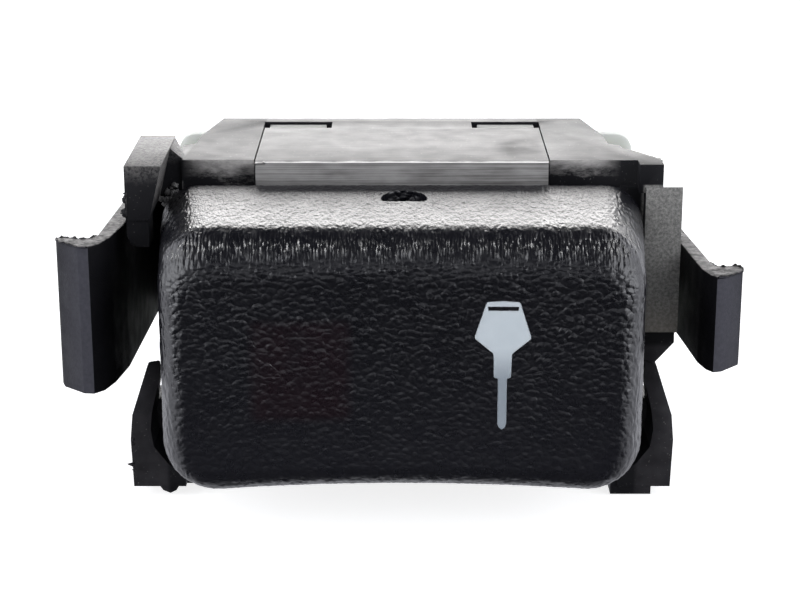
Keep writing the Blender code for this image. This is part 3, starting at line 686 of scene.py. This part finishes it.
def make_cap(material):
    rings = cap_rings()
    grained = len(rings)
    rings += inner_rings()
    count = len(rings[0])
    points = np.concatenate(rings)
    mesh = bpy.data.meshes.new("cap_mesh")
    steps = np.arange(count)
    after = (steps + 1) % count
    faces = []
    for k in range(len(rings) - 1):
        a, b = k * count, (k + 1) * count
        faces.append(np.stack([a + steps, a + after, b + after, b + steps], 1))
    faces = np.concatenate(faces).tolist()
    last = (len(rings) - 1) * count
    faces.append([last + int(i) for i in steps])
    mesh.from_pydata(points.tolist(), [], faces)
    mesh.update()
    shape = bmesh.new()
    shape.from_mesh(mesh)
    shape.verts.ensure_lookup_table()
    for i in range(grained * count):
        shape.verts[i].tag = True
    bmesh.ops.recalc_face_normals(shape, faces=shape.faces)
    shape.normal_update()
    moved = []
    for vert in shape.verts:
        if vert.tag:
            moved.append((vert, vert.normal * -grain(vert.co, vert.normal)))
    for vert, shift in moved:
        vert.co += shift
    bmesh.ops.remove_doubles(shape, verts=shape.verts, dist=0.004)
    for vert in shape.verts:
        vert.co = place(*vert.co)
    bmesh.ops.recalc_face_normals(shape, faces=shape.faces)
    shape.to_mesh(mesh)
    shape.free()
    cap = new_object("rocker_cap_grained", mesh, "rocker", material, ["rocker_cap"])
    cutters = [
        outline_mesh("key_cut", [key_outline(0.04)], "Y", -1, 4),
        outline_mesh("slot_cut", [crescent(0.2, 10.6, 2.2, 2.2)], "Z", 9, 16),
    ]
    cut_with(cap, cutters)
    smooth(cap.data, 60)
    return cap


def key_outline(grow):
    half = [
        (0, 6.05 + grow), (1.40 + grow, 5.96 + grow), (1.56 + grow, 5.8 + grow), (2.57 + grow, 2.62),
        (2.52 + grow, 2.42), (0.92 + grow, 1.06), (0.84 + grow, 0.9), (0.79 + grow, -1.2 - grow),
        (0.72 + grow, -1.32 - grow), (0.42 + grow, -1.4 - grow), (0.42 + grow, -5.75), (0.3, -6.1 - grow),
        (0, -6.35 - grow),
    ]
    other = [(-x, z) for x, z in half[-2:0:-1]]
    return [(KEY_X + x, z) for x, z in half + other]


def crescent(centre_x, y, half_width, depth):
    """A slot bowed to the rear, seen from above."""
    half = [
        (0, 1), (0.4, 0.93), (0.7, 0.74), (0.9, 0.46), (0.98, 0.2), (1, 0),
        (0.96, -0.2), (0.84, -0.3), (0.5, -0.3),
    ]
    outline = half[::-1] + [(-u, v) for u, v in half[1:]]
    return [(centre_x + half_width * u, y + depth * v) for u, v in outline]


def follow_dish(mesh, step=0.35):
    """Cuts a mesh into a grid and lays its front on the cap's dished face."""
    shape = bmesh.new()
    shape.from_mesh(mesh)
    low, high = place(KEY_X - 3, 0, -7), place(KEY_X + 3, 0, 7)
    for axis in (0, 2):
        at = low[axis]
        while at < high[axis]:
            centre, normal = Vector((0, 0, 0)), Vector((0, 0, 0))
            centre[axis], normal[axis] = at, 1
            geometry = shape.verts[:] + shape.edges[:] + shape.faces[:]
            bmesh.ops.bisect_plane(shape, geom=geometry, dist=1e-7, plane_co=centre, plane_no=normal)
            at += step * MM
    for vert in shape.verts:
        x, y, z = (vert.co - ORIGIN) / MM
        if y < 1.2:
            vert.co.y += float(dish(np.array(x), np.array(z))) * MM
    shape.to_mesh(mesh)
    shape.free()


def make_key(material, black):
    slot = [(KEY_X - 1.36, 5.12), (KEY_X - 1.42, 5.52), (KEY_X + 1.42, 5.52), (KEY_X + 1.36, 5.12)]
    mesh = outline_mesh("key_mesh", [key_outline(0.0), slot], "Y", 0.03, 2.9, 0.06, 2)
    follow_dish(mesh)
    smooth(mesh, 50)
    new_object("key_symbol_flush", mesh, "rocker", material, ["key_symbol_lens"])
    bar = outline_mesh("key_slot_mesh", [slot], "Y", 0.14, 2.6, 0.03, 1)
    follow_dish(bar)
    new_object("key_slot_fill", bar, "rocker", black)


# ---------------------------------------------------------------- housing and wings


LEFT_WING = [
    (19.7, 33.8), (25.6, 33.8), (26.5, 12.0), (27.2, 7.4), (27.9, 5.1), (28.8, 4.1), (29.8, 4.2),
    (31.9, 6.1), (32.2, 7.0), (31.7, 7.5), (30.0, 6.9), (29.1, 7.1), (28.5, 8.2), (27.0, 34.4),
    (26.2, 35.4), (19.7, 35.4),
]
RIGHT_WING = [
    (19.7, 33.8), (25.95, 33.8), (27.72, 14.3), (28.2, 8.6), (28.7, 6.6), (29.3, 5.7), (30.2, 6.0),
    (32.0, 7.9), (32.2, 8.9), (31.6, 9.7), (30.4, 9.3), (29.8, 9.6), (29.4, 11.0), (27.3, 34.4),
    (26.5, 35.4), (19.7, 35.4),
]


def crumb(shape, centre, size, seed):
    """A small torn lump of plastic."""
    made = bmesh.ops.create_icosphere(shape, subdivisions=3, radius=size * MM)
    for vert in made["verts"]:
        way = vert.co.normalized()
        bulge = 1 + 0.8 * noise.noise(way * 2.3 + Vector((seed * 3.1, 0, seed)))
        vert.co = place(*centre) + vert.co * bulge * (0.8 + 0.2 * math.sin(seed * 5.0))


def flash(shape, path, height, width, seed, step=0.12):
    """A ragged fin of flash that stands on a path of points and directions, thin at its top."""
    rows = []
    for (start, start_way), (end, end_way) in zip(path, path[1:]):
        start, end = Vector(start), Vector(end)
        count = max(2, int((end - start).length / step))
        for i in range(count + 1):
            way = Vector(start_way).lerp(Vector(end_way), i / count).normalized()
            rows.append((start.lerp(end, i / count), way, end - start))
    rings = []
    for i, (point, way, along) in enumerate(rows):
        ragged = 0.5 + 1.1 * noise.noise(Vector((i * step * 2.3, seed, 0.5)))
        ragged += 0.5 * noise.noise(Vector((i * step * 7.0, seed, 3.0)))
        tall = max(0.04, height * ragged)
        if i in (0, len(rows) - 1):
            tall = 0.02
        aside = way.cross(along).normalized() * width / 2
        lean = aside * noise.noise(Vector((i * step * 1.7, 9.0, seed))) * 2
        corners = [point - way * 0.1 + aside, point - way * 0.1 - aside, point + way * tall + lean]
        rings.append([shape.verts.new(place(*corner)) for corner in corners])
    for near, far in zip(rings, rings[1:]):
        for i in range(3):
            after = (i + 1) % 3
            shape.faces.new((near[i], near[after], far[after], far[i]))
    shape.faces.new(rings[0][::-1])
    shape.faces.new(rings[-1])


def add_to(obj, build_extra):
    """Adds small closed shapes to an object's mesh."""
    extra = bmesh.new()
    build_extra(extra)
    bmesh.ops.recalc_face_normals(extra, faces=extra.faces)
    for face in extra.faces:
        face.smooth = True
    mesh = bpy.data.meshes.new("extra")
    extra.to_mesh(mesh)
    extra.free()
    shape = bmesh.new()
    shape.from_mesh(obj.data)
    shape.from_mesh(mesh)
    shape.to_mesh(obj.data)
    shape.free()
    bpy.data.meshes.remove(mesh)


def housing_burrs(shape):
    """Torn plastic between the peg and the body, beside the peg and by the left stop block.

    The two crumbs and the fin by the stop block hang about 0.5 mm in front of it, without touching it.
    """
    crumbs = 13
    for i in range(crumbs):
        along = i / (crumbs - 1)
        x = -23.5 + 1.5 * along + 0.25 * math.sin(i * 2.4)
        z = 10.9 + 1.5 * along + 0.3 * math.cos(i * 3.7)
        crumb(shape, (x, 17.2, z), 0.24 + 0.13 * math.sin(i * 1.9) ** 2, i + 1.0)
    crumb(shape, (-26.0, 9.3, 13.3), 0.3, 31.0)
    left, down, up = (-1, -0.2, 0), (0, 0, -1), (0, -0.3, 1)
    flash(shape, [((-25.85, 9.0, 14.0), left), ((-25.85, 9.0, 11.5), left)], 0.5, 0.3, 2.0)
    flash(shape, [((-25.8, 9.0, 11.35), down), ((-23.75, 9.0, 11.35), down)], 0.18, 0.2, 5.0)
    crumb(shape, (-26.25, 10.3, -11.2), 0.24, 41.0)
    crumb(shape, (-26.3, 10.2, -11.6), 0.17, 43.0)
    flash(shape, [((-26.3, 10.4, -13.6), left), ((-26.35, 10.4, -14.6), left)], 0.55, 0.25, 7.0)
    flash(shape, [((-14.4, 15.95, 15.15), up), ((-13.2, 15.95, 15.2), up)], 0.22, 0.25, 11.0)


def lip_flash(outline, side, top):
    """The path round a wing's lip, along its top edge."""
    lip = [(side * u, v) for u, v in outline[5:13]]
    return [((u, v, top - 0.04), (0, 0, 1)) for u, v in lip]


def make_housing(material):
    """The CAD body with rounded edges, and a fine groove along each side of its raised middle panel."""
    mesh = refined("front_housing", EDGE)
    housing = new_object("housing_detailed", mesh, "housing", material, ["front_housing"])
    grooves = []
    for side in (-1, 1):
        x_range = sorted(side * (PANEL_HALF_WIDTH + away) for away in GROOVE)
        grooves.append(box_mesh("groove", x_range, (15.0, 31.8), (14.85, 16.0)))
        grooves.append(box_mesh("groove", x_range, (15.0, 17.3), (11.4, 16.0)))
    cut_with(housing, grooves)
    smooth(housing.data, 30)
    add_to(housing, housing_burrs)
    return housing


def make_wing(name, outline, side, z_range, body, node, material):
    mesh = outline_mesh(name, [[(side * u, v) for u, v in outline]], "Z", *z_range, EDGE)
    smooth(mesh, 30)
    wing = new_object(name, mesh, body, material, [node])
    path = lip_flash(outline, side, z_range[1])
    add_to(wing, lambda shape: flash(shape, path, 0.2, 0.16, 13.0 + side))
    return wing


def make_base(material):
    """The CAD base with rounded edges, and with its hooks standing a little higher in the snap slots."""
    mesh = refined("rear_base", BASE_EDGE)
    for vert in mesh.vertices:
        y, z = ((vert.co - ORIGIN) / MM).yz
        if abs(z) > HOOK_Z and y < HOOK_REAR:
            rise = HOOK_RISE - HOOK_SLOPE * max(0.0, y - HOOK_SLOPE_Y)
            vert.co.z += math.copysign(rise, z) * MM
    return new_object("rear_base_detailed", mesh, "housing", material, ["rear_base"])


def make_spring(name, x, word, material):
    """A fine coil, wound closer at its ends, that rides on the rocker."""
    start_y, end_y = 21.15, 26.75
    turns, per_turn = 7, 32
    wire_radius, coil_radius = 0.13, 0.95
    curve = bpy.data.curves.new(name, "CURVE")
    curve.dimensions = "3D"
    curve.bevel_depth = wire_radius * MM
    curve.bevel_resolution = 4
    curve.use_fill_caps = True
    spline = curve.splines.new("POLY")
    count = turns * per_turn + 1
    spline.points.add(count - 1)
    flat = 0.12
    for i, point in enumerate(spline.points):
        angle = 2 * math.pi * i / per_turn
        part = i / (count - 1)
        pitch = min(1.0, max(0.0, (part - flat / 2) / (1 - flat)))
        y = start_y + (end_y - start_y) * (0.1 * part + 0.9 * pitch)
        point.co = (*place(x + coil_radius * math.cos(angle), y, coil_radius * math.sin(angle)), 1)
    guide = bpy.data.objects.new(name, curve)
    bpy.context.scene.collection.objects.link(guide)
    bpy.context.view_layer.update()
    mesh = bpy.data.meshes.new_from_object(guide.evaluated_get(bpy.context.evaluated_depsgraph_get()))
    bpy.data.objects.remove(guide)
    bpy.data.curves.remove(curve)
    weld(mesh, 1e-7)
    smooth(mesh, 60)
    spring = new_object(name, mesh, "rocker", material, [word + "_plunger_spring"])
    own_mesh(spring)
    return spring


# ---------------------------------------------------------------- studio


def panel_light(name, location, target, size, radiance, color=(1, 1, 1)):
    light = bpy.data.lights.new(name, "AREA")
    light.shape = "RECTANGLE"
    light.size, light.size_y = size
    light.energy = radiance * math.pi * size[0] * size[1]
    light.color = color
    obj = bpy.data.objects.new(name, light)
    bpy.context.scene.collection.objects.link(obj)
    obj.location = location
    obj.rotation_euler = (Vector(target) - Vector(location)).to_track_quat("-Z", "Y").to_euler()
    return obj


def make_lights():
    """A bright back light for gloss, a weaker one for colour, and a large and a small one at each side."""
    target_z = 0.12
    for x, width, part in BACK_STRIPS:
        place_m, target, size = (x, BACK_Y, BACK_Z), (x, 0, target_z), (width, BACK_HEIGHT)
        gloss = panel_light("back_panel", place_m, target, size, part * BACK_RADIANCE, BACK_COLOR)
        gloss.visible_diffuse = False
    place_m, target, size = (0, BACK_Y, BACK_Z), (0, 0, target_z), (FILL_WIDTH, BACK_HEIGHT)
    fill = panel_light("back_fill", place_m, target, size, BACK_FILL, BACK_COLOR)
    fill.visible_glossy = False
    centre = (CAD_BOX[0] + CAD_BOX[1]) / 2
    for side in (-1, 1):
        large = (side * SIDE_PLACE[0], *SIDE_PLACE[1:])
        small = (side * SPARK_PLACE[0], *SPARK_PLACE[1:])
        panel_light("side_panel", large, centre, (SIDE_SIZE, SIDE_SIZE), SIDE_RADIANCE, (0.94, 0.96, 1.0))
        panel_light("spark_panel", small, centre, (SPARK_SIZE, SPARK_SIZE), SPARK_RADIANCE)


def make_floor():
    """A plain white floor. Its diffuse light reaches the object, but gloss sees the studio instead."""
    mesh = bpy.data.meshes.new("floor")
    size = 3.0
    corners = [(-size, -size, 0), (size, -size, 0), (size, size, 0), (-size, size, 0)]
    mesh.from_pydata(corners, [], [(0, 1, 2, 3)])
    floor = bpy.data.objects.new("floor", mesh)
    bpy.context.scene.collection.objects.link(floor)
    floor.location.z = CAD_BOX[0].z - 0.0001
    floor.visible_glossy = False
    material = bpy.data.materials.new("floor_pale")
    material.use_nodes = True
    tree = material.node_tree
    shader = tree.nodes["Principled BSDF"]
    shader.inputs["Base Color"].default_value = (0.8, 0.8, 0.8, 1)
    shader.inputs["Roughness"].default_value = 0.9
    shader.inputs["Specular IOR Level"].default_value = 0.0
    shader.inputs["Emission Color"].default_value = (1, 1, 1, 1)
    path = tree.nodes.new("ShaderNodeLightPath")
    glow = tree.nodes.new("ShaderNodeMapRange")
    glow.inputs["To Min"].default_value = 0.0
    glow.inputs["To Max"].default_value = 0.8
    tree.links.new(path.outputs["Is Camera Ray"], glow.inputs["Value"])
    tree.links.new(glow.outputs["Result"], shader.inputs["Emission Strength"])
    mesh.materials.append(material)


def make_world():
    """Bluish light from the sides and behind, less from in front, dark overhead, white to the camera."""
    world = bpy.data.worlds.new("studio")
    world.use_nodes = True
    tree = world.node_tree

    def ramp(source, low, high, to_low, to_high):
        node = tree.nodes.new("ShaderNodeMapRange")
        for name, value in zip(("From Min", "From Max", "To Min", "To Max"), (low, high, to_low, to_high)):
            node.inputs[name].default_value = value
        tree.links.new(source, node.inputs["Value"])
        return node.outputs["Result"]

    def combine(operation, a, b=None):
        node = tree.nodes.new("ShaderNodeMath")
        node.operation = operation
        tree.links.new(a, node.inputs[0])
        if b:
            tree.links.new(b, node.inputs[1])
        return node.outputs[0]

    direction = tree.nodes.new("ShaderNodeTexCoord").outputs["Generated"]
    split = tree.nodes.new("ShaderNodeSeparateXYZ")
    tree.links.new(direction, split.inputs["Vector"])
    across, along, up = split.outputs
    sides = ramp(combine("ABSOLUTE", across), 0.5, 0.85, 0.03, SIDE_GLOW)
    ahead = combine("MULTIPLY", ramp(along, -0.3, -0.7, 0.0, FRONT_GLOW), ramp(up, 0.02, 0.15, 0.0, 1.0))
    ahead = combine("MULTIPLY", ahead, ramp(up, 0.4, 0.6, 1.0, 0.0))
    corners = ramp(combine("ABSOLUTE", across), 0.2, 0.45, 0.0, 1.0)
    corners = combine("MULTIPLY", corners, ramp(up, 0.65, 0.85, 1.0, 0.0))
    behind = combine("MAXIMUM", ramp(up, 0.35, 0.6, 1.0, 0.0), corners)
    behind = combine("MULTIPLY", behind, ramp(along, 0.0, 0.5, 0.0, REAR_GLOW))
    low = ramp(up, 0.55, 0.85, 1.0, 0.1)
    glow = combine("ADD", combine("MULTIPLY", sides, low), combine("ADD", ahead, behind))
    seen = tree.nodes.new("ShaderNodeLightPath").outputs["Is Camera Ray"]
    background = tree.nodes["Background"]
    background.inputs["Color"].default_value = (0.92, 0.93, 1.0, 1)
    tree.links.new(glow, background.inputs["Strength"])
    plain = tree.nodes.new("ShaderNodeBackground")
    plain.inputs["Color"].default_value = (1, 1, 1, 1)
    choice = tree.nodes.new("ShaderNodeMixShader")
    tree.links.new(seen, choice.inputs["Fac"])
    tree.links.new(background.outputs[0], choice.inputs[1])
    tree.links.new(plain.outputs[0], choice.inputs[2])
    tree.links.new(choice.outputs[0], tree.nodes["World Output"].inputs["Surface"])
    bpy.context.scene.world = world


def make_camera():
    data = bpy.data.cameras.new("camera")
    data.sensor_width = 36
    data.lens = CAMERA_LENS
    data.clip_start = 0.001
    camera = bpy.data.objects.new("camera", data)
    bpy.context.scene.collection.objects.link(camera)
    camera.location = place(*CAMERA_PLACE)
    camera.rotation_euler = (math.radians(90 - CAMERA_TILT), 0, 0)
    bpy.context.scene.camera = camera


# ---------------------------------------------------------------- build

CAP = cap_material()
KEY = key_material()
HOUSING = housing_material()
WING = wing_material()
INNER = moulded_material("inner_black", (0.012, 0.012, 0.013), (0.02, 0.02, 0.021), 0.45, 0.25)
NYLON = nylon_material("base_nylon", (0.83, 0.86, 0.79), 0.6, 0.7, 2.5)
PLUNGER = nylon_material("plunger_nylon", (0.68, 0.69, 0.66), 0.4)
STEEL = metal_material("spring_steel", (0.42, 0.42, 0.43), (0.62, 0.62, 0.64), 0.28)
BRASS = metal_material("terminal_brass", (0.55, 0.42, 0.18), (0.78, 0.63, 0.32), 0.3, (1, 0.1, 1))
COPPER = metal_material("contact_copper", (0.55, 0.27, 0.17), (0.78, 0.45, 0.32), 0.3, (0.1, 1, 1))
GLASS = clear_material("lamp_glass", (0.95, 0.97, 0.98), 0.03)
GUIDE = clear_material("guide_clear", (0.9, 0.93, 0.95), 0.1)
FILTER = clear_material("filter_red", (0.35, 0.01, 0.02), 0.2)

make_camera()
make_cap(CAP)
make_key(KEY, CAP)
make_housing(HOUSING)
make_wing("left_wing_detailed", LEFT_WING, -1, (-4.25, 10.1), "left_wing", "left_wing_clip", WING)
make_wing("right_wing_detailed", RIGHT_WING, 1, (-2.7, 6.7), "right_wing", "right_wing_clip", WING)
for side, word in ((-1, "left"), (1, "right")):
    make_spring(word + "_spring_fine", side * POLE_X, word, STEEL)
make_base(NYLON)

# What each inner CAD node is made of. The opaque ones get a copy with rounded edges.
INNER_NODES = {
    "rocker_carrier": INNER, "light_divider": INNER,
    "symbol_lamp_holder": INNER, "indicator_lamp_holder": INNER,
    "indicator_filter": FILTER, "symbol_light_guide": GUIDE, "indicator_light_guide": GUIDE,
    "symbol_lamp": GLASS, "indicator_lamp": GLASS, "left_plunger": PLUNGER, "right_plunger": PLUNGER,
    "left_contact_rocker": COPPER, "right_contact_rocker": COPPER,
    "lamp_feed_terminal": BRASS, "lamp_ground_terminal": BRASS,
}
for word in ("left", "right"):
    for which in ("upper", "common", "lower"):
        INNER_NODES[f"{word}_{which}_terminal"] = BRASS
BODY_OF = {empty: name for name, empty in frame["bodies"].items()}
for node, finish in INNER_NODES.items():
    obj = frame["nodes"][node]
    if finish in (INNER, PLUNGER, COPPER, BRASS):
        # Blender adds a number to a material's name that the frame already uses, and a slot has none.
        new_object(node + "_edged", refined(node, FINE_EDGE), BODY_OF[obj.parent], finish, [node])
    else:
        obj.data.materials.clear()
        obj.data.materials.append(finish)

make_floor()
make_world()
make_lights()
bpy.context.scene.view_settings.view_transform = "Standard"
